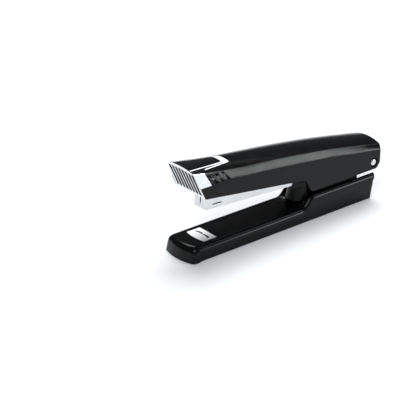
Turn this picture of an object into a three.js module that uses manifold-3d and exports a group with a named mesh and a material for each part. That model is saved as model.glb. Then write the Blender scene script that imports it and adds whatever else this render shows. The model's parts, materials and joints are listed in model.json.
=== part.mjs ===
// Full-strip desk stapler, in millimetres, +Z up. The nose points along -X and the hinge is at the back.
// Every piece is placed from the hinge pin's axis, which is parallel to Y, and the whole group is then
// moved so that its origin is the middle of the footprint, on the surface that it stands on.
import * as THREE from "three";
import { LoftGeometry } from "three/addons/geometries/LoftGeometry.js";
import { mergeVertices } from "three/addons/utils/BufferGeometryUtils.js";
import Module from "manifold-3d";

// ---------- driving dimensions ----------
const GAP = 0.3; // clearance between pieces that touch on the real object
const PIN_Z = 32.1; // height of the hinge axis above the table
const ORIGIN_TO_PIN = 90.8; // from the middle of the footprint back to the hinge axis

const BASE = {
  front: -190.6, // foremost point of the bowed front edge
  rearFoot: -1.2, // back end at the table
  rearLean: 0.27, // how far the back end leans out per millimetre of height
  halfWidth: 17.7,
  foot: 0.3, // the shell's lower edge stands this far off the table, on its pads
  deck: 12.2, // height of the long front deck
  rim: 20.9, // height of the side rims at the back
  stepFront: -76, // where the S-shaped step begins
  stepRear: -62.5, // where it reaches the rims
  channelHalf: 14.6, // half the width between the rims
  wall: 2.4,
};
const MAG = {
  tilt: THREE.MathUtils.degToRad(3.19), // nose-up rest angle of the magazine
  front: -167, // front face, measured along the magazine from the pin
  rear: 5,
  under: -6, // underside, from the pin's axis
  top: 6.5,
  half: 7.05,
  sheet: 0.55,
};
const STRIP = { front: -165.1, length: 52, half: 6.2, wire: 0.5, crown: 3.9, leg: 6 };
const RAIL = { half: 5.4, top: 3.0, bottom: -5.1, front: -164.3, rear: -14, sheet: 0.6 };
const FOLLOWER = { front: STRIP.front + STRIP.length + GAP, length: 22, top: 5.2 };
const SPRING_AXIS_X = -67.2; // the lift spring and its cup, along the magazine
const HANDLE = {
  wall: 1.9,
  shoulder: 17.7, // half width at the lower edge of the chamfer
  skirt: 18.5, // half width at the lower edge of the skirt
  skirtBottom: 26.3,
  skirtFront: -69.5,
  rear: 9.2,
};
const PIN = { radius: 2, hole: 2.3, headRadius: 2.9, ringRadius: 4.1 };

// ---------- joining, cutting and placing ----------
const wasm = await Module();
wasm.setup();

/** A closed geometry as a solid. */
function solid(geometry) {
  const bare = new THREE.BufferGeometry().setAttribute("position", geometry.getAttribute("position"));
  if (geometry.index) bare.setIndex(geometry.index);
  const merged = mergeVertices(bare, 1e-4);
  return new wasm.Manifold(
    new wasm.Mesh({
      numProp: 3,
      vertProperties: new Float32Array(merged.attributes.position.array),
      triVerts: new Uint32Array(merged.index.array),
    }),
  );
}

/** The largest body of a solid, without the slivers that coincident faces can leave. */
const mainBody = (made) => made.decompose().sort((a, b) => b.volume() - a.volume())[0];

/** A named mesh of a solid. */
function piece(name, made, material) {
  const m = made.getMesh();
  const geometry = new THREE.BufferGeometry();
  geometry.setAttribute("position", new THREE.BufferAttribute(m.vertProperties, 3));
  geometry.setIndex(new THREE.BufferAttribute(m.triVerts, 1));
  geometry.computeVertexNormals();
  const mesh = new THREE.Mesh(geometry, material);
  mesh.name = name;
  return mesh;
}

const shapeOf = (points) =>
  points instanceof THREE.Shape ? points : new THREE.Shape(points.map((p) => new THREE.Vector2(...p)));

/** An outline pushed straight along by a length. */
const extruded = (points, depth, curveSegments) =>
  new THREE.ExtrudeGeometry(shapeOf(points), { depth, bevelEnabled: false, curveSegments });

/** An outline in X and Z, pushed across from y0 to y1. */
function acrossY(points, y0, y1, curveSegments = 6) {
  const g = extruded(points, y1 - y0, curveSegments);
  g.rotateX(Math.PI / 2);
  g.translate(0, y1, 0);
  return solid(g);
}

/** An outline in X and Y, pushed up from z0 to z1. */
function alongZ(points, z0, z1, curveSegments = 6) {
  const g = extruded(points, z1 - z0, curveSegments);
  g.translate(0, 0, z0);
  return solid(g);
}

/** An outline in Y and Z, pushed along from x0 to x1. */
function alongX(points, x0, x1, curveSegments = 6) {
  const g = extruded(points, x1 - x0, curveSegments);
  const turn = new THREE.Matrix4().makeBasis(
    new THREE.Vector3(0, 1, 0),
    new THREE.Vector3(0, 0, 1),
    new THREE.Vector3(1, 0, 0),
  );
  g.applyMatrix4(turn);
  g.translate(x0, 0, 0);
  return solid(g);
}

/** A box between two corners. */
function block(x0, x1, y0, y1, z0, z1) {
  const g = new THREE.BoxGeometry(x1 - x0, y1 - y0, z1 - z0);
  g.translate((x0 + x1) / 2, (y0 + y1) / 2, (z0 + z1) / 2);
  return solid(g);
}

/** A round bar or cone across Y, centred on x and z. */
function barY(x, z, radius, y0, y1, endRadius = radius, sides = 24) {
  const g = new THREE.CylinderGeometry(endRadius, radius, y1 - y0, sides);
  g.translate(x, (y0 + y1) / 2, z);
  return solid(g);
}

/** A round bar or cone up Z, centred on x and y. */
function barZ(x, y, radius, z0, z1, endRadius = radius, sides = 24) {
  const g = new THREE.CylinderGeometry(endRadius, radius, z1 - z0, sides);
  g.rotateX(Math.PI / 2);
  g.translate(x, y, (z0 + z1) / 2);
  return solid(g);
}

/** A round bar along X, centred on y and z. */
function barX(y, z, radius, x0, x1, sides = 16) {
  const g = new THREE.CylinderGeometry(radius, radius, x1 - x0, sides);
  g.rotateZ(Math.PI / 2);
  g.translate((x0 + x1) / 2, y, z);
  return solid(g);
}

/** A smooth lengthwise curve through points in X and Z. */
const curve = (points) => new THREE.SplineCurve(points.map((p) => new THREE.Vector2(...p)));

/** Height of a lengthwise curve at x, found by halving. */
function heightAt(line, x) {
  let low = 0;
  let high = 1;
  for (let i = 0; i < 40; i++) {
    const middle = (low + high) / 2;
    if (line.getPoint(middle).x < x) low = middle;
    else high = middle;
  }
  return line.getPoint(low).y;
}

/** A half outline given on the +Y side, closed with its mirror image. */
const bothSides = (half) => [...half, ...half.map(([y, z]) => [-y, z]).reverse()];

const finish = (color, roughness, metalness) =>
  new THREE.MeshStandardMaterial({ color, roughness, metalness });
const BLACK = finish(0x17181a, 0.38, 0);
const GLOSS = finish(0x08090a, 0.12, 0);
const RUBBER = finish(0x1c1c1c, 0.9, 0);
const CHROME = finish(0xd9dcdf, 0.1, 1);
const STEEL = finish(0xc3c7cb, 0.28, 1);
const DARK_STEEL = finish(0x33363a, 0.45, 1);
const WIRE = finish(0xb5b9be, 0.3, 1);

// ---------- base ----------
/** The base's footprint, drawn in from the sides and the front, as a ring of points at one height. */
function baseOutline(z, side, front, x0 = BASE.front) {
  const half = BASE.halfWidth - side;
  const nose = x0 + front;
  const rear = BASE.rearFoot + BASE.rearLean * z;
  const outline = new THREE.Shape();
  outline.moveTo(rear, half);
  outline.lineTo(nose + 7.5, half);
  outline.quadraticCurveTo(nose + 2.8, half, nose + 2.4, half - 3.6);
  outline.quadraticCurveTo(nose - 2.4, 0, nose + 2.4, 3.6 - half);
  outline.quadraticCurveTo(nose + 2.8, -half, nose + 7.5, -half);
  outline.lineTo(rear, -half);
  return outline.getPoints(5).map((p) => new THREE.Vector3(p.x, p.y, z));
}

/** A block that rises through the base's footprints: [height, draw-in at the sides, draw-in at the front]. */
function baseBlock(levels, x0) {
  const rings = levels.map(([z, side, front]) => baseOutline(z, side, front, x0));
  return solid(new LoftGeometry(rings, { capStart: true, capEnd: true }));
}

/** Heights along the base: its top edge, and the groove that runs below the rounded edge. */
const BASE_TOP = curve([
  [-200, 12.2],
  [-84, 12.2],
  [-76.5, 12.3],
  [-72.8, 13.3],
  [-70, 16],
  [-67.3, 19],
  [-64, 20.6],
  [-59, 20.9],
  [14, 20.9],
]);
const BASE_GROOVE = [
  [-84, 6.2],
  [-77, 6.4],
  [-71.6, 7.2],
  [-68.2, 9.2],
  [-65.9, 12.6],
  [-63.4, 15],
  [-59, 15.9],
  [-50, 16],
];
/** The rounded upper edge: [below the top, in from the wall]. */
const EDGE = [
  [4.4, 0],
  [2.9, 0.22],
  [1.7, 0.8],
  [0.75, 1.7],
  [0.2, 2.8],
  [0, 4.1],
];

function baseShell() {
  const draft = (x) => 0.45 + 1.05 * THREE.MathUtils.smoothstep(x, -90, -60);
  const low = [[BASE.foot, 0, 0]];
  EDGE.forEach(([down, inward], i) => {
    low.push([BASE.deck - down, draft(-150) + inward, 1.5 + inward * 1.1 + (i ? 0.25 : 0)]);
  });
  const nose = baseBlock(low, BASE.front).subtract(block(-140, 20, -30, 30, -1, 40));
  const rings = [];
  for (const x of [-140, -84, -80, -77, -75, -73, -71, -69.5, -68, -66.5, -65, -63, -60, -55, 14]) {
    const top = heightAt(BASE_TOP, x);
    const half = [[BASE.halfWidth, BASE.foot]];
    for (const [down, inward] of EDGE) half.push([BASE.halfWidth - draft(x) - inward, top - down]);
    rings.push(bothSides(half).map(([y, z]) => new THREE.Vector3(x, y, z)));
  }
  const rear = [
    [-141, -1],
    [BASE.rearFoot - BASE.rearLean, -1],
    [BASE.rearFoot + 22 * BASE.rearLean, 22],
    [-141, 22],
  ];
  const long = solid(new LoftGeometry(rings, { capStart: true, capEnd: true }));
  const panel = new THREE.Shape();
  panel.moveTo(20, -1);
  panel.lineTo(-181.5, -1);
  panel.lineTo(-180.2, 4.4);
  panel.quadraticCurveTo(-179.8, 6.2, -178, 6.2);
  panel.splineThru(BASE_GROOVE.map((q) => new THREE.Vector2(...q)));
  panel.lineTo(20, 16);
  const beside = (side) =>
    alongX(
      [
        [side * (BASE.halfWidth - 0.9), -1],
        [side * (BASE.halfWidth - 1.5), 8],
        [side * (BASE.halfWidth - 2.5), 22],
        [side * 30, 22],
        [side * 30, -1],
      ],
      -200,
      20,
    );
  const recess = alongZ(baseOutline(0, 4.9, 9.6).map((q) => [q.x, q.y]), BASE.deck - 0.4, 15);
  const body = nose
    .add(long.intersect(acrossY(rear, -20, 20)))
    .subtract(acrossY(panel, -30, 30).intersect(beside(1).add(beside(-1))))
    .subtract(recess.intersect(block(-200, -79, -20, 20, 0, 20)));
  const between = [
    [-79, BASE.deck - 0.4],
    [-76.5, BASE.deck],
    [-72, 15.6],
    [-53, 15.6],
    [-53, 4.8],
    [12, 4.8],
    [12, 40],
    [-79, 40],
  ];
  const hollow = [
    [-184, -1],
    [-184, 10.2],
    [-80, 10.2],
    [-80, 3.4],
    [-4, 3.4],
    [-4, -1],
  ];
  const inside = new THREE.Shape(baseOutline(0, BASE.wall, 7).map((p) => new THREE.Vector2(p.x, p.y)));
  const well = new THREE.Shape();
  well.absarc(-64.2, 0, 9.4, -Math.PI / 2, Math.PI / 2);
  well.absarc(-67.6, 0, 9.4, Math.PI / 2, (3 * Math.PI) / 2);
  const channel = BASE.channelHalf - 1.2;
  let shell = body
    .subtract(acrossY(between, -channel, channel))
    .subtract(acrossY(hollow, -20, 20).intersect(alongZ(inside, -2, 11)))
    .subtract(alongZ(well, 4.8, 20, 8))
    .add(barZ(SPRING_AXIS_X - 0.6, 0, 2.6, 4.5, 8, 2.2, 16));
  for (const side of [-1, 1]) {
    const y = [10.8 * side, 14.4 * side].sort((a, b) => a - b);
    shell = shell.subtract(block(-72, -57, y[0], y[1], -1, 13.4));
  }
  for (const x of RIVET_X) shell = shell.subtract(barZ(x, 0, 1.8, 2, 6, 1.8, 12));
  return shell
    .subtract(alongZ(anvilPlan(GAP), ANVIL.top - ANVIL.thickness - GAP, 14, 8))
    .subtract(barZ(ANVIL.rivetX, 0, 1.8, 9, 12, 1.8, 12));
}

const RIVET_X = [-42, -20];
const ANVIL = { rear: -159.3, length: 12.6, half: 10.3, top: 12.3, thickness: 1.1, rivetX: -169.6 };

/** The anvil plate's outline, with its bowed front edge, grown by a margin. */
function anvilPlan(grow) {
  const front = ANVIL.rear - ANVIL.length - grow;
  const half = ANVIL.half + grow;
  const plan = new THREE.Shape();
  plan.moveTo(ANVIL.rear + grow, half);
  plan.lineTo(front, half);
  plan.quadraticCurveTo(front - 2.6, 0, front, -half);
  plan.lineTo(ANVIL.rear + grow, -half);
  return plan;
}

/** The anvil plate, with its two curved clinching pockets. */
function anvilPlate() {
  let plate = alongZ(anvilPlan(0), ANVIL.top - ANVIL.thickness, ANVIL.top, 8);
  for (const side of [-1, 1]) {
    const pocket = new THREE.Shape();
    pocket.moveTo(-165.2, 0.5 * side);
    pocket.quadraticCurveTo(-164.6, 4.2 * side, -166.2, 7.6 * side);
    pocket.lineTo(-164.4, 7.9 * side);
    pocket.quadraticCurveTo(-162.9, 4.2 * side, -163.6, 0.5 * side);
    plate = plate.subtract(alongZ(pocket, ANVIL.top - 0.55, ANVIL.top + 1));
  }
  return plate;
}

/** A two-headed rivet along Z. */
const rivetZ = (x, y, z0, z1, radius, head, lip) =>
  barZ(x, y, radius, z0, z1, radius, 12)
    .add(barZ(x, y, head, z0, z0 + lip, head, 16))
    .add(barZ(x, y, head, z1 - lip, z1, head * 0.8, 16));

/** The folded steel bracket: a floor flange with an ear on each side that reaches back and up to the pin. */
function hingeBracket() {
  const ear = new THREE.Shape();
  ear.moveTo(-51, 5.1);
  ear.lineTo(-11, 5.1);
  ear.lineTo(-11, 21.5);
  ear.lineTo(1.5, PIN_Z - 5.3);
  ear.absarc(0, PIN_Z, 5.5, -Math.PI / 2 + 0.25, Math.PI / 2);
  ear.lineTo(-14, 38.4);
  ear.lineTo(-46, 26);
  ear.lineTo(-51, 20);
  const wide = 10.5;
  const sheet = 1.2;
  return acrossY(ear, -wide, -wide + sheet)
    .add(acrossY(ear, wide - sheet, wide))
    .add(block(-51, -11, -wide, wide, 5.1, 5.1 + sheet))
    .subtract(barY(0, PIN_Z, PIN.hole, -12, 12))
    .subtract(RIVET_X.map((x) => barZ(x, 0, 1.8, 4, 8, 1.8, 12)).reduce((a, b) => a.add(b)));
}

/** A rectangle with round corners, in X and Y. */
function roundedPlan(x0, x1, half, radius) {
  const s = new THREE.Shape();
  s.absarc(x1 - radius, half - radius, radius, 0, Math.PI / 2);
  s.absarc(x0 + radius, half - radius, radius, Math.PI / 2, Math.PI);
  s.absarc(x0 + radius, radius - half, radius, Math.PI, 1.5 * Math.PI);
  s.absarc(x1 - radius, radius - half, radius, 1.5 * Math.PI, 2 * Math.PI);
  return s;
}

/** A coil spring round an axis along +Z from the origin. */
function coil(radius, wire, length, turns, steps = 10) {
  const points = [];
  for (let i = 0; i <= turns * steps; i++) {
    const a = (i / steps) * 2 * Math.PI;
    const along = (length * i) / (turns * steps);
    points.push(new THREE.Vector3(radius * Math.cos(a), radius * Math.sin(a), along));
  }
  const section = new THREE.Shape();
  section.absarc(0, 0, wire / 2, 0, 2 * Math.PI);
  const path = new THREE.CatmullRomCurve3(points);
  return new THREE.ExtrudeGeometry(section, {
    steps: turns * steps,
    extrudePath: path,
    bevelEnabled: false,
    curveSegments: 3,
  });
}

function baseGroup() {
  const g = new THREE.Group();
  const coverRing = baseOutline(0, BASE.wall + GAP, 8.5);
  const coverPlan = new THREE.Shape(coverRing.map((p) => new THREE.Vector2(p.x, p.y)));
  g.add(piece("base_shell", baseShell(), BLACK));
  const bottomPlate = alongZ(coverPlan, 0.9, 1.7).subtract(block(-4.6, 9, -20, 20, 0, 3));
  g.add(piece("base_bottom_plate", bottomPlate, DARK_STEEL));
  g.add(piece("foot_pad_front", alongZ(roundedPlan(-180, -146, 12.5, 3), 0, 0.6), RUBBER));
  g.add(piece("foot_pad_rear", alongZ(roundedPlan(-44, -9, 12.5, 3), 0, 0.6), RUBBER));
  g.add(piece("anvil_plate", anvilPlate(), CHROME));
  const anvilShank = barZ(ANVIL.rivetX, 0, 1.5, 9.3, 10.9, 1.5, 12);
  g.add(piece("anvil_rivet", anvilShank.add(barZ(ANVIL.rivetX, 0, 2.6, 8.8, 9.8, 2.6, 16)), STEEL));
  g.add(piece("hinge_bracket", hingeBracket(), DARK_STEEL));
  RIVET_X.forEach((x, i) => {
    g.add(piece(`bracket_rivet_${i + 1}`, rivetZ(x, 0, 2.1, 7.6, 1.5, 2.7, 1), STEEL));
  });
  const spring = coil(4.2, 1, 20, 6);
  spring.translate(SPRING_AXIS_X - 0.6, 0, 5.7);
  g.add(piece("lift_spring", solid(spring), WIRE));
  const head = barY(0, PIN_Z, PIN.headRadius * 0.7, -18.1, -17.5, PIN.headRadius).add(
    barY(0, PIN_Z, PIN.headRadius, -17.5, -16.9),
  );
  g.add(piece("hinge_pin", barY(0, PIN_Z, PIN.radius, -17, 16.6).add(head), STEEL));
  const capDome = barY(0, PIN_Z, PIN.headRadius, 17.5, 18.1, PIN.headRadius * 0.7);
  const cap = barY(0, PIN_Z, PIN.headRadius, 16.9, 17.5).add(capDome);
  g.add(piece("hinge_pin_cap", cap, STEEL));
  return g;
}

// ---------- magazine ----------
function magazineChannel() {
  const { half, sheet, under, top, front, rear } = MAG;
  const inner = half - sheet;
  const section = [
    [-half, top],
    [-half, under],
    [half, under],
    [half, top],
    [inner, top],
    [inner, under + sheet],
    [-inner, under + sheet],
    [-inner, top],
  ];
  const lip = block(front, front + sheet, -half, half, under, 4);
  return alongX(section, front, rear)
    .add(lip)
    .subtract(block(front - 1, front + sheet, -0.6, 0.6, under - 1, 9))
    .subtract(block(front + sheet, STRIP.front + 1.2, -inner, inner, under - 1, under + sheet + 0.2))
    .subtract(block(-17, rear + 1, -inner, inner, under - 1, under + sheet + 0.2))
    .subtract(block(-161, -152, -9, 9, -2.9, -1.9))
    .subtract(barY(0, 0, PIN.hole, -9, 9));
}

/** The inverted U that the staples straddle, with a slot along its top and a wall at each end. */
function stapleRail() {
  const { half, sheet, top, bottom, front, rear } = RAIL;
  const section = [
    [half, bottom],
    [half, top],
    [-half, top],
    [-half, bottom],
    [sheet - half, bottom],
    [sheet - half, top - sheet],
    [half - sheet, top - sheet],
    [half - sheet, bottom],
  ];
  const wall = (x) => block(x, x + 1, -half, half, bottom, top);
  return alongX(section, front, rear)
    .add(wall(front))
    .add(wall(rear - 1))
    .subtract(block(front + 4, rear - 4, -1.3, 1.3, top - 2, top + 1))
    .subtract(barX(0, ROD.z, ROD.radius + GAP, front - 1, rear + 1));
}

const ROD = { z: -1.6, radius: 1 };

/** A run of glued staples: one inverted U, open below. */
function staples(x0, x1) {
  const { half, wire, crown, leg } = STRIP;
  const section = [
    [half, crown - leg],
    [half, crown],
    [-half, crown],
    [-half, crown - leg],
    [wire - half, crown - leg],
    [wire - half, crown - wire],
    [half - wire, crown - wire],
    [half - wire, crown - leg],
  ];
  return alongX(section, x0, x1);
}

/** The follower: a saddle over the rail, with a web through the rail's slot that rides on the rod. */
function follower() {
  const { front, length, top } = FOLLOWER;
  const rear = front + length;
  const clear = RAIL.half + GAP;
  const saddle = [
    [STRIP.half, -3.5],
    [STRIP.half, top],
    [-STRIP.half, top],
    [-STRIP.half, -3.5],
    [-clear, -3.5],
    [-clear, RAIL.top + GAP],
    [clear, RAIL.top + GAP],
    [clear, -3.5],
  ];
  const cut = [
    [front + 6, top + 1],
    [front + 9, 4.2],
    [rear - 3, 4.2],
    [rear - 1, top + 1],
  ];
  return alongX(saddle, front, rear)
    .subtract(acrossY(cut, -4, 4))
    .add(block(front + 3, front + 9, -1, 1, ROD.z + 2, RAIL.top + 1))
    .add(block(front + 3, front + 9, -3.4, 3.4, ROD.z - 2.4, ROD.z + 2.4))
    .subtract(barX(0, ROD.z, ROD.radius + GAP, front, rear));
}

/** The black saddle under the magazine, with a cheek on each side and the lift spring's cup below. */
function springCarrier() {
  const out = MAG.half + GAP;
  const top = MAG.under - GAP;
  const cheek = [
    [-79, top - 1.6],
    [-56, top - 1.6],
    [-56, 1],
    [-72, 1],
    [-78, -3],
  ];
  const cupOuter = barZ(SPRING_AXIS_X, 0, 8.8, -20.9, top - 1, 6.4, 28);
  const cup = cupOuter.subtract(barZ(SPRING_AXIS_X, 0, 7.4, -22, -8.9, 5.3, 20));
  return block(-79, -56, -out - 1, out + 1, top - 1.6, top)
    .add(acrossY(cheek, out, out + 1))
    .add(acrossY(cheek, -out - 1, -out))
    .add(cup);
}

function magazineGroup() {
  const g = new THREE.Group();
  g.rotation.y = MAG.tilt;
  g.add(piece("magazine_channel", magazineChannel(), STEEL));
  g.add(piece("staple_rail", stapleRail(), STEEL));
  g.add(piece("staple_strip", staples(STRIP.front, STRIP.front + STRIP.length), WIRE));
  g.add(piece("follower", follower(), DARK_STEEL));
  g.add(piece("follower_rod", barX(0, ROD.z, ROD.radius, RAIL.front - 0.2, RAIL.rear + 2), STEEL));
  const springFront = FOLLOWER.front + 9 + GAP;
  const spring = coil(2, 0.6, RAIL.rear - 1.6 - springFront - 0.6, 14, 8);
  spring.rotateY(Math.PI / 2);
  spring.translate(springFront + 0.3, 0, ROD.z);
  g.add(piece("follower_spring", solid(spring), WIRE));
  const stopBlock = block(-11.4, -6, -MAG.half + MAG.sheet + GAP, MAG.half - MAG.sheet - GAP, -5, 4);
  g.add(piece("magazine_end_block", stopBlock, BLACK));
  g.add(piece("spring_carrier", springCarrier(), BLACK));
  return g;
}

// ---------- handle ----------
const CROWN = curve([[-196, 76.6], [-150, 71.1], [-105, 65.4], [-52, 58.4], [-10, 51.8], [14, 47.4]]);
const RIDGE = curve([[-196, 74.6], [-150, 67.1], [-105, 62.6], [-52, 56], [-10, 49], [14, 44.4]]);
const SHOULDER = curve([[-196, 60.6], [-150, 59.5], [-105, 55.6], [-52, 49], [-10, 43.3], [14, 39.8]]);

/** The handle's outer form as a solid, drawn in all round by t. */
function handleForm(t) {
  const rings = [];
  const across = t > 0 ? [0.66, 0.33] : [0.93, 0.84, 0.72, 0.58, 0.4, 0.2];
  for (let x = -196; x <= 14; x += 7) {
    const crown = heightAt(CROWN, x) - t;
    const ridge = heightAt(RIDGE, x) - t;
    const shoulder = heightAt(SHOULDER, x) - t * 0.35;
    const ridgeHalf = 14.6 + 0.7 * THREE.MathUtils.smoothstep(-x, 150, 190) - t * 0.75;
    const wide = HANDLE.shoulder - t;
    const half = [[HANDLE.skirt + 0.1 - (t > 0 ? t - 0.7 : 0), 20]];
    if (t > 0) half.push([wide, shoulder]);
    else {
      const rise = ridge - shoulder;
      half.push([wide + 0.1, shoulder - 3], [wide - 0.1, shoulder - 0.6]);
      half.push([wide - 0.55, shoulder + 0.17 * rise]);
      half.push([wide - 1.2, shoulder + 0.4 * rise], [wide - 2.05, shoulder + 0.7 * rise]);
      half.push([ridgeHalf + 0.3, ridge - 0.6]);
    }
    half.push([ridgeHalf, ridge]);
    for (const k of across) half.push([ridgeHalf * k, crown - (crown - ridge) * k ** 2.2]);
    const ring = [...half, [0, crown], ...half.map(([y, z]) => [-y, z]).reverse()];
    rings.push(ring.map(([y, z]) => new THREE.Vector3(x, y, z)));
  }
  return solid(new LoftGeometry(rings, { capStart: true, capEnd: true }));
}

const FACE = { topX: -188.4, topZ: 78, footX: -176, footZ: 50.9 };
const SEAM = { topX: -178.1, topZ: 78, footX: -163.5, footZ: 49.5 };

/** The handle seen from the side: raked nose, rising lower edge, rounded skirt and bowed back. */
function handleSide(inset) {
  const s = new THREE.Shape();
  s.moveTo(FACE.topX + inset, FACE.topZ + 10);
  s.lineTo(FACE.topX + inset, FACE.topZ);
  if (inset > 0) {
    // the hollow's outline runs on below the cover, so that the cover is open underneath
    s.lineTo(FACE.footX + inset - 2.16, FACE.footZ - 4.8);
    s.lineTo(FACE.footX + inset, 10);
    s.lineTo(HANDLE.rear - 6.5, 10);
    s.lineTo(HANDLE.rear - 6.5, 26);
  } else {
    s.lineTo(FACE.footX, FACE.footZ);
    s.lineTo(-78, 38.1);
    s.quadraticCurveTo(-75, 37.6, -73.9, 35);
    s.lineTo(HANDLE.skirtFront - 1.4, 29.4);
    s.quadraticCurveTo(HANDLE.skirtFront, HANDLE.skirtBottom, HANDLE.skirtFront + 4, HANDLE.skirtBottom);
    s.lineTo(2, HANDLE.skirtBottom);
  }
  s.bezierCurveTo(7 - inset, 27.5, HANDLE.rear - inset, 36, HANDLE.rear - inset, 42);
  s.lineTo(HANDLE.rear - inset - 0.8, 50);
  s.lineTo(HANDLE.rear - inset - 6, FACE.topZ + 10);
  return acrossY(s, -22, 22);
}

/** The plan of the handle, with its back corners rounded. */
function handlePlan(inset) {
  const s = new THREE.Shape();
  const rear = HANDLE.rear + 0.6 - inset;
  const half = 19 - inset;
  s.moveTo(-200, half);
  s.lineTo(-200, -half);
  s.lineTo(rear - 5.5, -half);
  s.quadraticCurveTo(rear - 1, -half, rear - 0.8, 6 - half);
  s.quadraticCurveTo(rear + 0.8, 0, rear - 0.8, half - 6);
  s.quadraticCurveTo(rear - 1, half, rear - 5.5, half);
  return alongZ(s, 10, 95);
}

const leaning = (line, dx, far) =>
  acrossY(
    [
      [line.topX + dx, line.topZ],
      [line.footX + dx, line.footZ],
      [line.footX + dx + (line.footX - line.topX), 10],
      [far, 10],
      [far, line.topZ],
    ],
    -22,
    22,
  );

/** A plan trapezoid, narrowing towards the back, with rounded back corners. */
function taperedPlan(x0, half0, x1, half1, round) {
  const s = new THREE.Shape();
  s.moveTo(x0, half0);
  s.lineTo(x0, -half0);
  s.lineTo(x1 - round, -half1 - 0.1);
  s.quadraticCurveTo(x1, -half1, x1, round - half1);
  s.lineTo(x1, half1 - round);
  s.quadraticCurveTo(x1, half1, x1 - round, half1 + 0.1);
  return s;
}

/** Three raked louvre slots in one side's chamfer, as an outline in X and Z. */
function louvre(i) {
  const x = -167.2 + 5.9 * i;
  const s = new THREE.Shape();
  s.moveTo(x - 4.3, 67.6);
  s.lineTo(x - 1.5, 67.6);
  s.lineTo(x + 4.3, 60.9);
  s.lineTo(x + 1.5, 60.9);
  return s;
}

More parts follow.
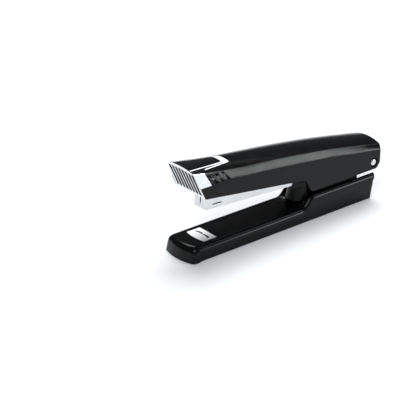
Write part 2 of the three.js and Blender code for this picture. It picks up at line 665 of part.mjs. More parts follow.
function handlePieces() {
  const form = handleForm(0);
  const outer = form.intersect(handleSide(0)).intersect(handlePlan(0));
  const inner = handleForm(HANDLE.wall).intersect(handleSide(HANDLE.wall)).intersect(handlePlan(1.6));
  const boss = barY(0, PIN_Z, 6.2, -17.6, -13.6).add(barY(0, PIN_Z, 6.2, 13.6, 17.6));
  const posts = COVER_SCREW_X.map((x) =>
    barZ(x, 0, 3.4, frameTop(x) + 2 * GAP, heightAt(CROWN, x) - 0.8, 3.4, 16),
  ).reduce((a, b) => a.add(b));
  const shell = outer.subtract(inner);
  const behind = leaning(SEAM, GAP / 2, 40);
  const ahead = acrossY(
    [
      [SEAM.topX - GAP / 2, SEAM.topZ],
      [SEAM.footX - GAP / 2, SEAM.footZ],
      [SEAM.footX + 7, SEAM.footZ - 14],
      [-210, SEAM.footZ - 14],
      [-210, SEAM.topZ],
    ],
    -22,
    22,
  );
  const tonguePlan = (grow) => taperedPlan(-184, 14.4 + grow, -145 + grow, 7.6 + grow, 0.5);
  const panelPlan = (grow) => taperedPlan(-195, 11.3 + grow, -151.5 + grow, 5.9 + grow, 2.4);
  const up = (plan) => alongZ(plan, 60, 90);
  const skin = (region, depth) => outer.intersect(region).subtract(outer.translate([0, 0, -depth]));
  const within = (dy) => form.translate([0, dy, 0]).intersect(form.translate([0, -dy, 0]));

  // cover
  let cover = shell.intersect(behind).subtract(up(tonguePlan(GAP)));
  cover = cover.add(boss.add(posts).intersect(outer).intersect(behind));
  cover = cover.subtract(barY(0, PIN_Z, PIN.hole, -22, 22));
  cover = cover.subtract(barY(0, PIN_Z, PIN.ringRadius, -22, -16.6));
  cover = cover.subtract(barY(0, PIN_Z, PIN.ringRadius, 16.6, 22));
  cover = cover.subtract(block(0, 12, -14.2, 14.2, 20, 40));
  for (const x of COVER_SCREW_X) cover = cover.subtract(barZ(x, 0, 1.5, 30, frameTop(x) + 6, 1.5, 12));
  for (let i = 0; i < 3; i++) {
    cover = cover.subtract(acrossY(louvre(i), -20, -12)).subtract(acrossY(louvre(i), 12, 20));
  }

  // nose cap, with seats for the cheek trims, the top panel and its trim, and an open face
  const cheekSide = (grow) =>
    acrossY(
      [
        [-200, 73.4 + grow],
        [-176.4 + grow, 73.4 + grow],
        [-169.9 + grow, 60.4 - grow],
        [-200, 60.4 - grow],
      ],
      -22,
      22,
    );
  const cheekRegion = (grow) =>
    cheekSide(grow).subtract(block(-200, -150, -14.9 + grow, 14.9 - grow, 50, 90));
  const slab = acrossY(
    [
      [FACE.topX - 5, FACE.topZ],
      [FACE.topX + 0.9, FACE.topZ],
      [FACE.footX + 0.9, FACE.footZ],
      [FACE.footX + 1.4, FACE.footZ - 2],
      [FACE.footX - 10, FACE.footZ - 2],
    ],
    -22,
    22,
  );
  const seat = slab.translate([GAP, 0, 0]);
  const seatWall = slab.translate([1.4, 0, 0]);
  const trimPlan = (grow) => {
    const round = up(panelPlan(GAP + 0.8 + grow)).subtract(up(panelPlan(GAP - grow)));
    const tongue = up(tonguePlan(-GAP + grow));
    const rim = tongue.subtract(up(tonguePlan(-1.1 - grow)));
    const edge = rim.intersect(leaning(SEAM, 3 - grow, 40));
    const rear = tongue.intersect(block(-151 - grow, -140, -12, 12, 60, 90));
    return round.add(edge).add(rear).subtract(up(panelPlan(GAP - grow)));
  };
  const cap = shell
    .intersect(ahead.add(up(tonguePlan(0))))
    .subtract(seatWall.intersect(within(0.7).add(skin(block(-200, -170, -15.5, 15.5, 66, 90), 3))))
    .subtract(up(panelPlan(GAP)).add(trimPlan(0.2)).subtract(outer.translate([0, 0, -1.3])))
    .subtract(cheekRegion(GAP).subtract(within(1.1)));
  const panel = skin(up(panelPlan(0)), 0.9).subtract(seat);
  const panelTrim = skin(trimPlan(0), 0.9).subtract(seat);

  // grille bezel: the raked front wall with eight upright slits
  let bezel = slab.intersect(outer).intersect(within(1.0).add(block(-200, -170, -14.6, 14.6, 68, 90)));
  for (let i = 0; i < 8; i++) {
    const y = (i - 3.5) * 3.75;
    bezel = bezel.subtract(block(-200, -160, y - 1.35, y + 1.35, 53, 72.8 - Math.abs(y) * 0.08));
  }
  const backing = acrossY(
    [
      [-183.6, 70.4],
      [-182.8, 70.4],
      [-174.5, 52.3],
      [-175.3, 52.3],
    ],
    -13.1,
    13.1,
  );
  const cheeks = cheekRegion(0).intersect(outer).subtract(within(0.8));
  const trimRight = mainBody(cheeks.intersect(block(-200, -150, -22, 0, 50, 80)));
  const trimLeft = mainBody(cheeks.intersect(block(-200, -150, 0, 22, 50, 80)));
  const lining = handleForm(HANDLE.wall + 0.4).subtract(handleForm(HANDLE.wall + 1.2));
  const bar = (y0, y1) => lining.intersect(block(-170.5, -150, y0, y1, 62.7, 64.5));
  return [
    ["handle_cover", cover, BLACK],
    ["nose_cap", mainBody(cap), BLACK],
    ["top_panel", panel, GLOSS],
    ["panel_trim", panelTrim, CHROME],
    ["grille_bezel", bezel, CHROME],
    ["grille_backing", backing, BLACK],
    ["cheek_trim_right", trimRight, CHROME],
    ["cheek_trim_left", trimLeft, CHROME],
    ["louvre_strip_right", bar(-20, -11.5), CHROME],
    ["louvre_strip_left", bar(11.5, 20), CHROME],
  ];
}

const FRAME = { front: -161.8, rear: -16, frontZ: 62, rearZ: 44.6, half: 8.65, sheet: 1.2, flange: 5 };
const COVER_SCREW_X = [-128, -32];
/** Height of the frame's top face at x. */
function frameTop(x) {
  const slope = (FRAME.rearZ - FRAME.frontZ) / (FRAME.rear - FRAME.front);
  return FRAME.frontZ + slope * (x - FRAME.front) + FRAME.sheet;
}

/** The steel frame under the cover: a long channel with its flanges down, whose back ends carry the pin. */
function handleFrame() {
  const { front, rear, frontZ, rearZ, half, sheet, flange } = FRAME;
  const web = [
    [front, frontZ],
    [rear, rearZ],
    [rear, rearZ + sheet],
    [front, frontZ + sheet],
  ];
  const side = new THREE.Shape();
  side.moveTo(front, frontZ + sheet);
  side.lineTo(front, frontZ - flange);
  side.lineTo(-30, rearZ - 3.4);
  side.lineTo(-12, PIN_Z - 4.4);
  side.absarc(0, PIN_Z, 5.2, -Math.PI / 2 - 0.4, Math.PI / 2 - 0.6);
  side.lineTo(rear + 6, rearZ + sheet - 1);
  side.lineTo(rear, rearZ + sheet);
  const flanges = acrossY(side, -half, sheet - half).add(acrossY(side, half - sheet, half));
  let frame = acrossY(web, -half, half).add(flanges).subtract(barY(0, PIN_Z, PIN.hole, -12, 12));
  for (const x of COVER_SCREW_X) frame = frame.subtract(barZ(x, 0, 1.5, 30, 70, 1.5, 12));
  for (const x of DRIVER_RIVET_X) frame = frame.subtract(barZ(x, 0, 1.3, 30, 70, 1.3, 12));
  return frame;
}

const DRIVER_RIVET_X = [-158.5, -153.5];
const DRIVER = {
  outer: 166.1,
  thickness: 0.7,
  half: 6.2,
  tipZ: 14.1,
  topZ: FRAME.frontZ + FRAME.sheet + GAP + 0.8 - PIN_Z,
};

/** The driver blade, curved round the hinge so that it stays in its slot, with a tab back over the frame. */
function driverBlade() {
  const { outer, thickness, half, tipZ, topZ } = DRIVER;
  const angle = (z, r) => Math.PI - Math.asin(z / r);
  const s = new THREE.Shape();
  s.absarc(0, 0, outer, angle(tipZ, outer), angle(topZ, outer), true);
  s.absarc(0, 0, outer - thickness, angle(topZ, outer - thickness), angle(tipZ, outer - thickness), false);
  const blade = acrossY(s, -half, half).translate([0, 0, PIN_Z]);
  const tab = acrossY(
    [
      [-162.4, frameTop(-162.4) + GAP],
      [-151, frameTop(-151) + GAP],
      [-151, frameTop(-151) + GAP + 0.8],
      [-162.4, topZ + PIN_Z],
    ],
    -half,
    half,
  );
  const hole = (x) => barZ(x, 0, 1.3, 50, 80, 1.3, 12);
  return DRIVER_RIVET_X.reduce((made, x) => made.subtract(hole(x)), blade.add(tab));
}

/** The leaf spring that lifts the handle off the magazine. */
function leafSpring() {
  const s = new THREE.Shape();
  const top = (x) => frameTop(x) - FRAME.sheet - GAP;
  s.moveTo(-46, top(-46));
  s.lineTo(-62, top(-62));
  s.quadraticCurveTo(-84, top(-84) - 0.5, -104, 46.6);
  s.quadraticCurveTo(-108, 45.3, -113, 46.3);
  s.lineTo(-113, 47);
  s.quadraticCurveTo(-108, 46, -104.2, 47.4);
  s.quadraticCurveTo(-84, top(-84), -62, top(-62) + 0.7);
  s.lineTo(-46, top(-46) + 0.7);
  return acrossY(s, -6.8, 6.8).translate([0, 0, -0.75]);
}

function handleGroup() {
  const g = new THREE.Group();
  for (const [name, made, material] of handlePieces()) g.add(piece(name, made, material));
  g.add(piece("handle_frame", handleFrame(), STEEL));
  g.add(piece("driver_blade", driverBlade(), STEEL));
  DRIVER_RIVET_X.forEach((x, i) => {
    const z = frameTop(x);
    g.add(piece(`driver_rivet_${i + 1}`, rivetZ(x, 0, z - FRAME.sheet - 1.2, z + 2.2, 1, 2, 0.7), STEEL));
  });
  g.add(piece("leaf_spring", leafSpring(), STEEL));
  COVER_SCREW_X.forEach((x, i) => {
    const z = frameTop(x) - FRAME.sheet - 1.5;
    const shank = barZ(x, 0, 1.2, z + 1, frameTop(x) + 5.5, 1.2, 12);
    const screw = barZ(x, 0, 2.5, z, z + 1.1, 2.5, 16).add(shank);
    g.add(piece(`cover_screw_${i + 1}`, screw, STEEL));
  });
  return g;
}

// ---------- the whole stapler ----------
const stapler = new THREE.Group();
const fromPin = new THREE.Group();
fromPin.position.x = ORIGIN_TO_PIN;
fromPin.add(baseGroup());
const magazine = magazineGroup();
magazine.position.z = PIN_Z;
fromPin.add(magazine);
fromPin.add(handleGroup());
stapler.add(fromPin);

export default stapler;
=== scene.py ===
"""A full-strip desk stapler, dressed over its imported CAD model."""
import json
import logging
import math
from dataclasses import dataclass
from enum import Enum

import bmesh
import bpy
from mathutils import Matrix, Vector


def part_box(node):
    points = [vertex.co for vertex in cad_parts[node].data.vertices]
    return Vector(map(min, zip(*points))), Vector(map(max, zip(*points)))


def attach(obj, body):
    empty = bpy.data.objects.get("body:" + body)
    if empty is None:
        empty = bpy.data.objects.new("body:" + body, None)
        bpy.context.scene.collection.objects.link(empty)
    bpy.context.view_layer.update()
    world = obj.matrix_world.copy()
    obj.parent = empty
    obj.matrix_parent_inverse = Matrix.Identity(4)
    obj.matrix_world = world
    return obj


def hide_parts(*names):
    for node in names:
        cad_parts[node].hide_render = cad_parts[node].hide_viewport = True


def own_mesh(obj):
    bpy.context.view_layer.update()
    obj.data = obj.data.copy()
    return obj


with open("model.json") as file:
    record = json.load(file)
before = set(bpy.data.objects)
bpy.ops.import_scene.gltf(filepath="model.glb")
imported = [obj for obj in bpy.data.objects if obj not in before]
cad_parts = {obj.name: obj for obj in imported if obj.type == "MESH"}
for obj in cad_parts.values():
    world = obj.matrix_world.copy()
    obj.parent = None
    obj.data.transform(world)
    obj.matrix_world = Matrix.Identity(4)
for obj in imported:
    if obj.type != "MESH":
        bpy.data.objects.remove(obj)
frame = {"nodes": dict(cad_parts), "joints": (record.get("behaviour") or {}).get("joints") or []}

MM = 0.001
LOG = logging.getLogger("stapler")
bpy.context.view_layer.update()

JOINTS = {joint["name"]: joint for joint in frame["joints"]}
# The middle of the hinge pin, which both the magazine and the handle turn about.
PIN = Vector(JOINTS["magazine_hinge"]["pos_m"])
# The way the follower slides, which is rearwards along the magazine, and so the magazine's lean at rest.
SLIDE = Vector(JOINTS["follower_slide"]["axis"])
MAGAZINE_TILT = math.atan2(-SLIDE.z, SLIDE.x)

# Radius and height of each corner of a turned part, in millimetres.
Outline = list[tuple[float, float]]


class Body(Enum):
    """The rigid bodies that a piece can ride on."""

    BASE = "base"
    MAGAZINE = "magazine"
    FOLLOWER = "follower_body"
    HANDLE = "handle"


class Grain(Enum):
    """Which way a worked surface runs, as the stretch of its noise along X, Y and Z."""

    ALONG_X = (0.04, 1.0, 1.0)
    NONE = (1.0, 1.0, 1.0)


# ---------------------------------------------------------------- materials

# How wide the soft patches are in which a surface is a little duller and changes its tint.
PATCH_MM = 14.0
# The colour of painted shade on metal: a darker tint that stands in for the shade in hollows and down edges.
PAINTED_SHADE_COLOUR = "#26272a"
LACQUER_ROUGHNESS = 0.04


def linear(colour: str) -> tuple[float, float, float, float]:
    """Turn an sRGB hex colour into linear values.

    Args:
        colour: Six hex digits with a leading hash.

    Returns:
        Linear red, green, blue and an alpha of 1.
    """
    channels = [int(colour[i : i + 2], 16) / 255 for i in (1, 3, 5)]
    straight = [c / 12.92 if c <= 0.04045 else ((c + 0.055) / 1.055) ** 2.4 for c in channels]
    return (*straight, 1.0)


def add(
    tree: bpy.types.NodeTree, kind: str, inputs: dict[str | int, object] | None = None, **settings: object
) -> bpy.types.Node:
    """Add one node with its settings and its links.

    Args:
        tree: The node tree to add to.
        kind: The node's type, such as ShaderNodeBump.
        inputs: Socket name or number, to the value it holds or the output that feeds it.
        **settings: The node's own properties.

    Returns:
        The new node.
    """
    node = tree.nodes.new(kind)
    for key, value in settings.items():
        setattr(node, key, value)
    for key, value in (inputs or {}).items():
        if isinstance(value, bpy.types.NodeSocket):
            tree.links.new(value, node.inputs[key])
        else:
            node.inputs[key].default_value = value
    return node


@dataclass(frozen=True)
class Finish:
    """A surface: what it is made of, and what working it left behind.

    The two colours mix in soft patches, and the roughness moves by `uneven` either way with them. Moulded
    plastics, paint and rubber all have an IOR near 1.5. `painted_shade_below_mm` paints shade, as a darker
    colour, on what lies below that height.
    """

    name: str
    colour: str
    tint: str
    roughness: float
    uneven: float
    grit_mm: float
    relief_mm: float
    metallic: float = 0.0
    ior: float = 1.5
    grain: Grain = Grain.NONE
    coat: float = 0.0
    specular: float = 0.5
    painted_shade_below_mm: float = 0.0

    def colouring(
        self, tree: bpy.types.NodeTree, place: bpy.types.NodeSocket, patches: bpy.types.NodeSocket
    ) -> bpy.types.NodeSocket:
        """Mix the two colours, and paint shade on what lies low.

        Args:
            tree: The material's tree.
            place: Object coordinates.
            patches: Soft patches from 0 to 1.

        Returns:
            The surface's colour.
        """
        mixed = {"Fac": patches, "Color1": linear(self.colour), "Color2": linear(self.tint)}
        colour = add(tree, "ShaderNodeMixRGB", mixed).outputs[0]
        if not self.painted_shade_below_mm:
            return colour
        # Painted shade: below the given height the colour turns darker, standing in for the shade in pockets
        # and down edges.
        level = add(tree, "ShaderNodeSeparateXYZ", {"Vector": place}).outputs["Z"]
        low = add(tree, "ShaderNodeMath", {0: level, 1: self.painted_shade_below_mm * MM}, operation="LESS_THAN")
        shaded_low = {"Fac": low.outputs[0], "Color1": colour, "Color2": linear(PAINTED_SHADE_COLOUR)}
        return add(tree, "ShaderNodeMixRGB", shaded_low).outputs[0]

    def relief(self, tree: bpy.types.NodeTree, place: bpy.types.NodeSocket) -> bpy.types.NodeSocket:
        """Raise the fine pattern that working the surface left.

        Args:
            tree: The material's tree.
            place: Object coordinates.

        Returns:
            The bumped normal.
        """
        stretched = add(tree, "ShaderNodeMapping", {"Vector": place, "Scale": self.grain.value}).outputs[0]
        grit = {"Vector": stretched, "Scale": 1 / (self.grit_mm * MM), "Detail": 3.0}
        height = add(tree, "ShaderNodeTexNoise", grit).outputs[0]
        bump = {"Height": height, "Distance": self.relief_mm * MM, "Strength": 1.0}
        return add(tree, "ShaderNodeBump", bump).outputs[0]

    def material(self) -> bpy.types.Material:
        """Build the material once, and find it again afterwards.

        Returns:
            The material.
        """
        made = bpy.data.materials.get(self.name)
        if made:
            return made
        made = bpy.data.materials.new(self.name)
        made.use_nodes = True
        tree = made.node_tree
        shader = tree.nodes["Principled BSDF"]
        place = add(tree, "ShaderNodeTexCoord").outputs["Object"]
        soft = {"Vector": place, "Scale": 1 / (PATCH_MM * MM), "Detail": 4.0}
        patches = add(tree, "ShaderNodeTexNoise", soft).outputs[0]
        spread = {"Value": patches, "From Min": 0.3, "From Max": 0.7}
        spread |= {"To Min": self.roughness - self.uneven, "To Max": self.roughness + self.uneven}
        tree.links.new(add(tree, "ShaderNodeMapRange", spread).outputs[0], shader.inputs["Roughness"])
        tree.links.new(self.colouring(tree, place, patches), shader.inputs["Base Color"])
        tree.links.new(self.relief(tree, place), shader.inputs["Normal"])
        shader.inputs["Metallic"].default_value = self.metallic
        if not self.metallic:
            shader.inputs["IOR"].default_value = self.ior
        shader.inputs["Specular IOR Level"].default_value = self.specular
        shader.inputs["Coat Weight"].default_value = self.coat
        shader.inputs["Coat Roughness"].default_value = LACQUER_ROUGHNESS
        return made


# Injection-moulded ABS, polished mould: near black with a soft sheen and a faint orange peel.
BLACK_ABS = Finish("Moulded_ABS_black", "#0a0b0b", "#0e0e10", 0.19, 0.03, 0.7, 0.006, specular=0.17)
# The same ABS from a finely blasted part of the mould, so it is a little duller.
DULL_ABS = Finish("Moulded_ABS_satin", "#0c0c0d", "#111113", 0.45, 0.05, 0.5, 0.012, specular=0.22)
# Acrylic inlay: mirror gloss over black.
INLAY = Finish("Acrylic_inlay_black", "#060607", "#08080a", 0.08, 0.02, 6, 0.004, coat=0.3)
# Bright chrome plate over moulded ABS: white highlights, with the softest waviness.
CHROME = Finish("Chrome_plate", "#e6e8ea", "#dcdee1", 0.16, 0.03, 5, 0.004, metallic=1.0)
# Satin chrome on the inlaid lines: it scatters the room's light, so thin lines stay pale from every side.
SATIN_CHROME = Finish("Satin_chrome_plate", "#f2f3f4", "#eaebed", 0.54, 0.03, 0.4, 0.003, metallic=1.0)
# Nickel-plated cold-rolled strip: rolled lines along the sheet.
NICKEL = Finish(
    "Nickel_plated_strip", "#dcddde", "#cdcfd1", 0.26, 0.05, 0.35, 0.003, metallic=1.0, grain=Grain.ALONG_X
)
# Nickel-plated and tumbled blank: a pale, even satin, with painted shade in its pockets and down its edges.
SATIN_NICKEL = Finish(
    "Nickel_plated_tumbled", "#f6f6f6", "#eaebec", 0.6, 0.03, 0.5, 0.004, metallic=1.0, painted_shade_below_mm=12.14
)
# Nickel-plated and barrel-polished small parts.
NICKEL_SMALL = Finish("Nickel_plated_turned", "#d9dadb", "#c8cacc", 0.16, 0.04, 0.8, 0.003, metallic=1.0)
# Hardened spring strip: a grey oil temper with lengthwise rolling lines.
TEMPERED = Finish(
    "Tempered_spring_strip", "#8e9297", "#7b8087", 0.3, 0.06, 0.3, 0.003, metallic=1.0, grain=Grain.ALONG_X
)
# Powder-coated sheet steel: soft black with a fine pebble.
PAINTED = Finish("Powder_coated_steel", "#131314", "#19191b", 0.45, 0.06, 0.4, 0.02)
# Galvanised staple wire, flattened and glued.
STAPLE = Finish("Galvanised_staple_wire", "#c9cccf", "#b4b8bd", 0.28, 0.06, 0.3, 0.004, metallic=1.0)
# Drawn music wire.
WIRE = Finish("Drawn_music_wire", "#a9adb2", "#989ca2", 0.27, 0.05, 0.3, 0.003, metallic=1.0)
# Cast rubber pad: matt, with a fine tooth.
RUBBER = Finish("Cast_rubber", "#191919", "#222222", 0.85, 0.06, 0.7, 0.05)


# ---------------------------------------------------------------- making pieces


def finished(
    bm: bmesh.types.BMesh, node: str, name: str, body: Body, finish: Finish, sharp: float = 35.0
) -> bpy.types.Object:
    """Turn a bmesh into a piece that rides on a body in place of a CAD node.

    Args:
        bm: The shape, in place, in metres. It is freed.
        node: The CAD node that it stands for.
        name: The piece's name.
        body: The body it moves with.
        finish: Its surface.
        sharp: Edges bent by more than this many degrees stay crisp.

    Returns:
        The new object.
    """
    mesh = bpy.data.meshes.new(name)
    bm.to_mesh(mesh)
    bm.free()
    mesh.polygons.foreach_set("use_smooth", [True] * len(mesh.polygons))
    mesh.set_sharp_from_angle(angle=math.radians(sharp))
    mesh.materials.append(finish.material())
    piece = bpy.data.objects.new(name, mesh)
    bpy.context.scene.collection.objects.link(piece)
    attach(piece, body.value)
    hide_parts(node)
    LOG.info("%s rides on %s, %d faces", name, body.value, len(mesh.polygons))
    return piece


def softened(
    node: str,
    name: str,
    body: Body,
    finish: Finish,
    edge_mm: float,
    flats: bool = True,
    even: bool = False,
) -> None:
    """Stand a CAD node's shape in for it, with its loose triangles merged and its edges rounded.

    Args:
        node: The CAD node.
        name: The piece's name.
        body: The body it moves with.
        finish: Its surface.
        edge_mm: The radius of its edges.
        flats: Whether flat areas are merged into single faces, which suits sheet and block shapes.
        even: Whether big faces decide how it shades, which keeps a cut-up curved skin smooth.
    """
    crisp = 30.0
    bm = bmesh.new()
    bm.from_mesh(frame["nodes"][node].data)
    bmesh.ops.remove_doubles(bm, verts=bm.verts, dist=0.002 * MM)
    if flats:
        bmesh.ops.dissolve_limit(bm, angle_limit=math.radians(0.3), verts=bm.verts, edges=bm.edges)
    piece = finished(bm, node, name, body, finish, crisp)
    bevel = piece.modifiers.new("edges", "BEVEL")
    bevel.width = edge_mm * MM
    bevel.segments = 2
    bevel.limit_method = "ANGLE"
    bevel.angle_limit = math.radians(crisp)
    bevel.harden_normals = True
    bevel.miter_outer = "MITER_ARC"
    if even:
        weights = piece.modifiers.new("shading", "WEIGHTED_NORMAL")
        weights.mode = "FACE_AREA_WITH_ANGLE"
        weights.weight = 60
        weights.keep_sharp = True


def lathe(outline: Outline, steps: int) -> bmesh.types.BMesh:
    """Turn an outline round Z, as a lathe does.

    Args:
        outline: The corners, from the axis back to the axis.
        steps: How many faces go round.

    Returns:
        The closed shape.
    """
    bm = bmesh.new()
    corners = [bm.verts.new((radius * MM, 0, height * MM)) for radius, height in outline]
    edges = [bm.edges.new(pair) for pair in zip(corners, corners[1:])]
    bmesh.ops.spin(
        bm, geom=corners + edges, cent=(0, 0, 0), axis=(0, 0, 1), angle=math.tau, steps=steps, use_merge=True
    )
    bmesh.ops.remove_doubles(bm, verts=bm.verts, dist=0.001 * MM)
    bmesh.ops.recalc_face_normals(bm, faces=bm.faces)
    return bm


def turned(outline: Outline, place: Matrix, node: str, name: str, body: Body, steps: int) -> None:
    """Turn a small plated part.

    Args:
        outline: The corners, from the axis back to the axis.
        place: Where the part goes.
        node: The CAD node that it stands for.
        name: The piece's name.
        body: The body it moves with.
        steps: How many faces go round.
    """
    finished(placed(lathe(outline, steps), place), node, name, body, NICKEL_SMALL, 40.0)


def coil(radius_mm: float, wire_mm: float, rise_mm: float, turns: int, steps: int) -> bmesh.types.BMesh:
    """Wind a round wire up Z.

    Args:
        radius_mm: The coil's radius, to the middle of the wire.
        wire_mm: The wire's diameter.
        rise_mm: How far the wire climbs in all.
        turns: How many turns.
        steps: How many lengths of wire make a turn.

    Returns:
        The closed shape.
    """
    bm = bmesh.new()
    bmesh.ops.create_circle(bm, segments=10, radius=wire_mm / 2 * MM)
    upright = Matrix.Translation((radius_mm * MM, 0, 0)) @ Matrix.Rotation(math.pi / 2, 4, "X")
    bmesh.ops.transform(bm, matrix=upright, verts=bm.verts)
    bmesh.ops.spin(
        bm,
        geom=list(bm.verts) + list(bm.edges),
        cent=(0, 0, 0),
        axis=(0, 0, 1),
        dvec=(0, 0, rise_mm * MM / (turns * steps)),
        angle=math.tau * turns,
        steps=turns * steps,
    )
    bmesh.ops.holes_fill(bm, edges=[e for e in bm.edges if e.is_boundary], sides=0)
    bmesh.ops.recalc_face_normals(bm, faces=bm.faces)
    return bm


def extruded(corners_mm: list[tuple[float, float, float]], along_mm: Vector) -> bmesh.types.BMesh:
    """Push a flat outline straight out.

    Args:
        corners_mm: The outline's corners.
        along_mm: How far it goes, along X, Y and Z.

    Returns:
        The closed shape.
    """
    bm = bmesh.new()
    face = bm.faces.new([bm.verts.new(Vector(corner) * MM) for corner in corners_mm])
    grown = bmesh.ops.extrude_face_region(bm, geom=[face])["geom"]
    bmesh.ops.translate(bm, verts=vertices(grown), vec=along_mm * MM)
    bmesh.ops.recalc_face_normals(bm, faces=bm.faces)
    return bm


def vertices(geometry: list[object]) -> list[bmesh.types.BMVert]:
    """Keep only the vertices of what a bmesh operator gives back."""
    return [part for part in geometry if isinstance(part, bmesh.types.BMVert)]


def round_off(bm: bmesh.types.BMesh, edges: list[bmesh.types.BMEdge], offset_mm: float) -> None:
    """Round some edges of a shape.

    Args:
        bm: The shape.
        edges: The edges.
        offset_mm: How far the rounding reaches from each edge.
    """
    bmesh.ops.bevel(
        bm,
        geom=edges,
        offset=offset_mm * MM,
        offset_type="OFFSET",
        segments=2,
        profile=0.5,
        affect="EDGES",
        material=-1,
    )


def placed(bm: bmesh.types.BMesh, place: Matrix) -> bmesh.types.BMesh:
    """Move a whole shape.

    Args:
        bm: The shape.
        place: The move.

    Returns:
        The same shape.
    """
    bmesh.ops.transform(bm, matrix=place, verts=bm.verts)
    return bm


def foot(node: str) -> Vector:
    """Find the middle of a CAD node's underside.

    Args:
        node: The CAD node.

    Returns:
        The point, in metres.
    """
    low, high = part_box(node)
    return Vector(((low[0] + high[0]) / 2, (low[1] + high[1]) / 2, low[2]))


IN_MAGAZINE = Matrix.Translation(PIN) @ Matrix.Rotation(MAGAZINE_TILT, 4, "Y")


def along_magazine(x: float, z: float) -> Matrix:
    """Shift by millimetres in the tilted magazine, from the pin's axis."""
    return IN_MAGAZINE @ Matrix.Translation(Vector((x, 0, z)) * MM)


TO_X = Matrix.Rotation(math.pi / 2, 4, "Y")
TO_MINUS_Y = Matrix.Rotation(math.pi / 2, 4, "X")
TO_PLUS_Y = Matrix.Rotation(-math.pi / 2, 4, "X")


@dataclass
class Base:
    """The long moulded base with everything fixed to it."""

    edge_mm: float = 0.35
    # The lift coil is a little slimmer than its CAD node and nearer the pin, to clear the tilting cup.
    coil_radius_mm: float = 3.4
    coil_wire_mm: float = 0.95
    coil_rise_mm: float = 19.9
    coil_turns: int = 6
    coil_shift_mm: float = 0.6
    coil_foot_mm: float = 0.55
    # The share of the coil's height that is left when the magazine is right down.
    coil_kept: float = 0.53

    def build(self) -> None:
        """Make the base's pieces."""
        softened("base_shell", "base_moulding", Body.BASE, BLACK_ABS, self.edge_mm, flats=False, even=True)
        for node, name, finish, edge_mm in (
            ("anvil_plate", "anvil", SATIN_NICKEL, 0.12),
            ("hinge_bracket", "bracket", PAINTED, 0.2),
            ("base_bottom_plate", "bottom_plate", PAINTED, 0.15),
            ("foot_pad_front", "front_pad", RUBBER, 0.15),
            ("foot_pad_rear", "rear_pad", RUBBER, 0.15),
        ):
            softened(node, name, Body.BASE, finish, edge_mm)
        self.hinge_pin()
        self.rivets()
        self.cup_spring()

    def hinge_pin(self) -> None:
        """Turn the pin with its domed head, and the cap pressed on its far end."""
        dome = [(2.9, 17.0), (2.9, 17.35), (2.72, 17.7), (2.3, 17.98), (1.6, 18.08), (0.55, 18.1), (0, 18.1)]
        shaft = [(0, -16.55), (1.8, -16.55), (1.98, -16.3), (1.98, 16.95), (2.75, 16.95), *dome]
        cap = [(0, 16.92), (2.75, 16.92), *dome]
        middle = Matrix.Translation(PIN)
        turned(shaft, middle @ TO_MINUS_Y, "hinge_pin", "pin", Body.BASE, 40)
        turned(cap, middle @ TO_PLUS_Y, "hinge_pin_cap", "pin_cap", Body.BASE, 40)

    def rivets(self) -> None:
        """Turn the rivets that hold the bracket and the anvil, each up from its foot."""
        shank = [(0, 0.02), (2.4, 0.02), (2.68, 0.3), (2.68, 0.98), (1.5, 1.0), (1.5, 4.52), (2.66, 4.52)]
        upset = [(2.5, 4.9), (1.9, 5.28), (1.0, 5.45), (0, 5.48)]
        for node in ("bracket_rivet_1", "bracket_rivet_2"):
            turned(shank + upset, Matrix.Translation(foot(node)), node, f"{node}_turned", Body.BASE, 28)
        head = [(0, 0.02), (1.5, 0.1), (2.4, 0.4), (2.58, 0.8), (2.58, 0.98)]
        shank = [(1.48, 1.0), (1.48, 2.08), (0, 2.08)]
        node = "anvil_rivet"
        turned(head + shank, Matrix.Translation(foot(node)), node, f"{node}_turned", Body.BASE, 28)

    def cup_spring(self) -> None:
        """Wind the coil under the cup."""
        seat = foot("lift_spring") + Vector((self.coil_shift_mm, 0, 0)) * MM
        wire = coil(self.coil_radius_mm, self.coil_wire_mm, self.coil_rise_mm, self.coil_turns, 28)
        placed(wire, Matrix.Translation(seat + Vector((0, 0, self.coil_foot_mm)) * MM))
        spring = finished(wire, "lift_spring", "cup_spring", Body.BASE, WIRE)
        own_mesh(spring)


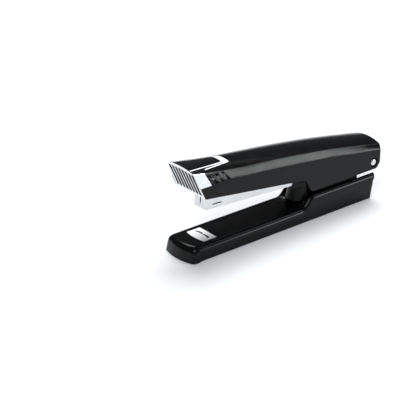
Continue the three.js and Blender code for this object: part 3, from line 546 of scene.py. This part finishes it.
@dataclass
class Magazine:
    """The sprung staple magazine. Its places are from the pin, rearwards and up, along its own lean."""

    strip_front_mm: float = -165.05
    strip_mm: float = 52.0
    staple_pitch_mm: float = 0.65
    glue_mm: float = 0.08
    half_mm: float = 6.2
    wire_mm: float = 0.5
    crown_mm: float = 3.9
    leg_mm: float = 6.0
    bend_mm: float = 0.45
    rod_front_mm: float = -164.48
    rod_level_mm: float = -1.6
    spring_radius_mm: float = 2.0
    spring_wire_mm: float = 0.55
    spring_front_mm: float = -103.2
    spring_rise_mm: float = 87.2
    spring_turns: int = 26
    spring_seat_mm: float = -15.7
    # The share of the spring's length that is left when the follower is drawn right back.
    spring_kept: float = 0.19

    def build(self) -> None:
        """Make the magazine's pieces."""
        softened("magazine_channel", "channel", Body.MAGAZINE, NICKEL, 0.3)
        softened("spring_carrier", "carrier", Body.MAGAZINE, DULL_ABS, 0.3)
        softened("staple_rail", "rail", Body.MAGAZINE, NICKEL, 0.12)
        self.staples()
        softened("magazine_end_block", "end_block", Body.MAGAZINE, DULL_ABS, 0.3)
        softened("follower", "pusher", Body.FOLLOWER, PAINTED, 0.15)
        self.guide_rod()
        self.push_spring()

    def staples(self) -> None:
        """Bend one staple, and repeat it along the glued strip."""
        outer, inner = self.half_mm, self.half_mm - self.wire_mm
        top, foot_mm = self.crown_mm, self.crown_mm - self.leg_mm
        corners = [(0, -outer, foot_mm), (0, -outer, top), (0, outer, top), (0, outer, foot_mm)]
        corners += [(0, inner, foot_mm), (0, inner, top - self.wire_mm)]
        corners += [(0, -inner, top - self.wire_mm), (0, -inner, foot_mm)]
        bm = extruded(corners, Vector((self.staple_pitch_mm - self.glue_mm, 0, 0)))
        lengthwise = [e for e in bm.edges if abs(e.verts[0].co.x - e.verts[1].co.x) > 0.01 * MM]
        round_off(bm, [e for e in lengthwise if e.verts[0].co.z > (top - 0.1) * MM], self.bend_mm)
        one = list(bm.verts) + list(bm.edges) + list(bm.faces)
        for number in range(1, int(self.strip_mm / self.staple_pitch_mm)):
            copy = bmesh.ops.duplicate(bm, geom=one)["geom"]
            shift = (number * self.staple_pitch_mm * MM, 0, 0)
            bmesh.ops.translate(bm, verts=vertices(copy), vec=shift)
        placed(bm, along_magazine(self.strip_front_mm, 0))
        finished(bm, "staple_strip", "staples", Body.MAGAZINE, STAPLE, 50.0)

    def guide_rod(self) -> None:
        """Turn the rod that the follower runs on, with its chamfered ends."""
        outline = [(0, 0), (0.8, 0), (0.98, 0.25), (0.98, 152.2), (0.8, 152.45), (0, 152.45)]
        rod = placed(lathe(outline, 24), along_magazine(self.rod_front_mm, self.rod_level_mm) @ TO_X)
        finished(rod, "follower_rod", "guide_rod", Body.MAGAZINE, NICKEL_SMALL)

    def push_spring(self) -> None:
        """Wind the coil behind the follower."""
        wire = coil(self.spring_radius_mm, self.spring_wire_mm, self.spring_rise_mm, self.spring_turns, 20)
        placed(wire, along_magazine(self.spring_front_mm, self.rod_level_mm) @ TO_X)
        spring = finished(wire, "follower_spring", "push_spring", Body.MAGAZINE, WIRE)
        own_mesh(spring)


@dataclass
class Handle:
    """The hollow handle with its nose, and the steel that it holds."""

    # The leaf's middle line, forwards from its fixed end: X from the pin, and Z from the table.
    leaf_mm: tuple[tuple[float, float], ...] = (
        (-46.0, 47.48),
        (-62.0, 49.39),
        (-75.0, 50.35),
        (-90.0, 51.05),
        (-100.0, 51.4),
        (-105.0, 51.45),
        (-108.5, 51.5),
        (-111.0, 51.9),
        (-113.0, 52.6),
    )
    leaf_thick_mm: float = 0.68
    leaf_wide_mm: float = 11.4
    leaf_edge_mm: float = 0.08
    threads: int = 8
    thread_pitch_mm: float = 0.8

    def build(self) -> None:
        """Make the handle's pieces."""
        softened("handle_cover", "cover", Body.HANDLE, BLACK_ABS, 0.25, even=True)
        softened("nose_cap", "nose", Body.HANDLE, BLACK_ABS, 0.12, flats=False, even=True)
        softened("top_panel", "inlay", Body.HANDLE, INLAY, 0.1, flats=False, even=True)
        softened("panel_trim", "inlay_trim", Body.HANDLE, SATIN_CHROME, 0.1, flats=False, even=True)
        softened("grille_bezel", "bezel", Body.HANDLE, CHROME, 0.1, flats=False)
        for node, name, finish, edge_mm in (
            ("grille_backing", "grille_back", DULL_ABS, 0.2),
            ("cheek_trim_right", "right_cheek", CHROME, 0.15),
            ("cheek_trim_left", "left_cheek", CHROME, 0.15),
            ("louvre_strip_right", "right_louvre", SATIN_CHROME, 0.15),
            ("louvre_strip_left", "left_louvre", SATIN_CHROME, 0.15),
            ("handle_frame", "frame_channel", NICKEL, 0.2),
            ("driver_blade", "blade", TEMPERED, 0.08),
        ):
            softened(node, name, Body.HANDLE, finish, edge_mm)
        self.leaf()
        self.screws()
        self.rivets()

    def leaf(self) -> None:
        """Press the leaf spring from strip, as it lies when the handle is squeezed."""
        half, side = self.leaf_thick_mm / 2, -self.leaf_wide_mm / 2
        corners = [(PIN.x / MM + x, side, z - half) for x, z in self.leaf_mm]
        corners += [(PIN.x / MM + x, side, z + half) for x, z in reversed(self.leaf_mm)]
        bm = extruded(corners, Vector((0, self.leaf_wide_mm, 0)))
        rim = [e for e in bm.edges if abs(e.verts[0].co.y - e.verts[1].co.y) < 0.001 * MM]
        round_off(bm, [e for e in rim if e.calc_face_angle(0.0) > math.radians(60)], self.leaf_edge_mm)
        finished(bm, "leaf_spring", "leaf", Body.HANDLE, TEMPERED, 30.0)

    def screws(self) -> None:
        """Turn the two cover screws, with a socket in each pan head and a thread up each shank."""
        socket = [(0, 0.62), (1.0, 0.62), (1.12, 0.5), (1.15, 0.05)]
        head = [(2.1, 0.02), (2.42, 0.3), (2.48, 0.7), (2.46, 1.05), (1.0, 1.08)]
        thread = []
        for turn in range(self.threads):
            root = 1.3 + self.thread_pitch_mm * turn
            thread += [(0.95, root), (1.18, root + self.thread_pitch_mm / 2)]
        tip = [(0.9, 7.8), (0.3, 8.15), (0, 8.17)]
        for node in ("cover_screw_1", "cover_screw_2"):
            place = Matrix.Translation(foot(node))
            turned(socket + head + thread + tip, place, node, f"{node}_cut", Body.HANDLE, 24)

    def rivets(self) -> None:
        """Turn the two rivets that hold the driver to the frame, with their upset heads."""
        head = [(0, 0.02), (1.2, 0.08), (1.8, 0.3), (1.97, 0.55), (1.97, 0.68)]
        shank = [(0.99, 0.7), (0.99, 3.88)]
        upset = [(1.97, 3.9), (1.9, 4.2), (1.5, 4.45), (0.7, 4.56), (0, 4.57)]
        for node in ("driver_rivet_1", "driver_rivet_2"):
            place = Matrix.Translation(foot(node))
            turned(head + shank + upset, place, node, f"{node}_set", Body.HANDLE, 24)


# ---------------------------------------------------------------- studio


@dataclass(frozen=True)
class Lamp:
    """A rectangular soft lamp."""

    name: str
    place: tuple[float, float, float]
    size: tuple[float, float]
    watts: float
    tint: str = "#ffffff"

    def hang(self, aim: Vector) -> None:
        """Hang the lamp, facing a point.

        Args:
            aim: The point, in metres.
        """
        data = bpy.data.lights.new(self.name, "AREA")
        data.shape = "RECTANGLE"
        data.size, data.size_y = self.size
        data.energy = self.watts
        data.color = linear(self.tint)[:3]
        lamp = bpy.data.objects.new(self.name, data)
        lamp.location = self.place
        lamp.rotation_euler = (aim - Vector(self.place)).to_track_quat("-Z", "Y").to_euler()
        bpy.context.scene.collection.objects.link(lamp)


@dataclass
class Studio:
    """A pale floor, soft lights and the camera, in metres and degrees."""

    floor_half: float = 6.0
    lens_mm: float = 130.05
    azimuth: float = -39.14
    elevation: float = 25.23
    distance: float = 1.14667
    aim_aside: float = -0.05923
    aim_up: float = 0.01705
    room_light: float = 0.09
    lamp_aim: tuple[float, float, float] = (0.0, 0.0, 0.03)
    lamps: tuple[Lamp, ...] = (
        Lamp("key", (-1.6, -1.0, 2.4), (1.8, 1.8), 46),
        Lamp("shoulder_window", (1.68, -1.77, 0.45), (0.8, 0.62), 17, "#eef6f4"),
        Lamp("edge_window", (1.55, -1.05, 1.75), (0.5, 0.4), 3, "#eef3ff"),
        Lamp("back_fill", (0.95, 1.05, 2.65), (1.9, 1.9), 88),
    )

    def floor(self) -> None:
        """Lay a plain pale floor."""
        bm = bmesh.new()
        bmesh.ops.create_grid(bm, x_segments=1, y_segments=1, size=self.floor_half)
        mesh = bpy.data.meshes.new("floor")
        bm.to_mesh(mesh)
        bm.free()
        paper = bpy.data.materials.new("Matt_white_paper")
        paper.use_nodes = True
        shader = paper.node_tree.nodes["Principled BSDF"]
        shader.inputs["Base Color"].default_value = linear("#f4f6f8")
        shader.inputs["Roughness"].default_value = 0.9
        shader.inputs["Specular IOR Level"].default_value = 0.1
        mesh.materials.append(paper)
        floor = bpy.data.objects.new("floor", mesh)
        bpy.context.scene.collection.objects.link(floor)

    def light(self) -> None:
        """Light the room faintly, and hang the lamps."""
        world = bpy.data.worlds.new("studio")
        world.use_nodes = True
        backdrop = world.node_tree.nodes["Background"]
        backdrop.inputs["Color"].default_value = linear("#eef2f8")
        backdrop.inputs["Strength"].default_value = self.room_light
        bpy.context.scene.world = world
        bpy.context.scene.view_settings.view_transform = "Standard"
        for lamp in self.lamps:
            lamp.hang(Vector(self.lamp_aim))

    def camera(self) -> None:
        """Stand the camera round to one side and above, with its aim a little off the middle."""
        data = bpy.data.cameras.new("camera")
        data.lens = self.lens_mm
        data.sensor_width = 36
        data.clip_start, data.clip_end = 0.05, 30
        camera = bpy.data.objects.new("camera", data)
        round_it = Matrix.Rotation(math.radians(self.azimuth), 4, "Z")
        over_it = Matrix.Rotation(math.radians(90 - self.elevation), 4, "X")
        back_off = Matrix.Translation((self.aim_aside, self.aim_up, self.distance))
        camera.matrix_world = round_it @ over_it @ back_off
        bpy.context.scene.collection.objects.link(camera)
        bpy.context.scene.camera = camera

    def build(self) -> None:
        """Make the floor, the lights and the camera."""
        self.floor()
        self.light()
        self.camera()


def main() -> None:
    """Build the studio and the stapler."""
    logging.basicConfig(level=logging.INFO, format="%(name)s: %(message)s")
    for assembly in (Studio(), Base(), Magazine(), Handle()):
        assembly.build()


if __name__ == "__main__":
    main()
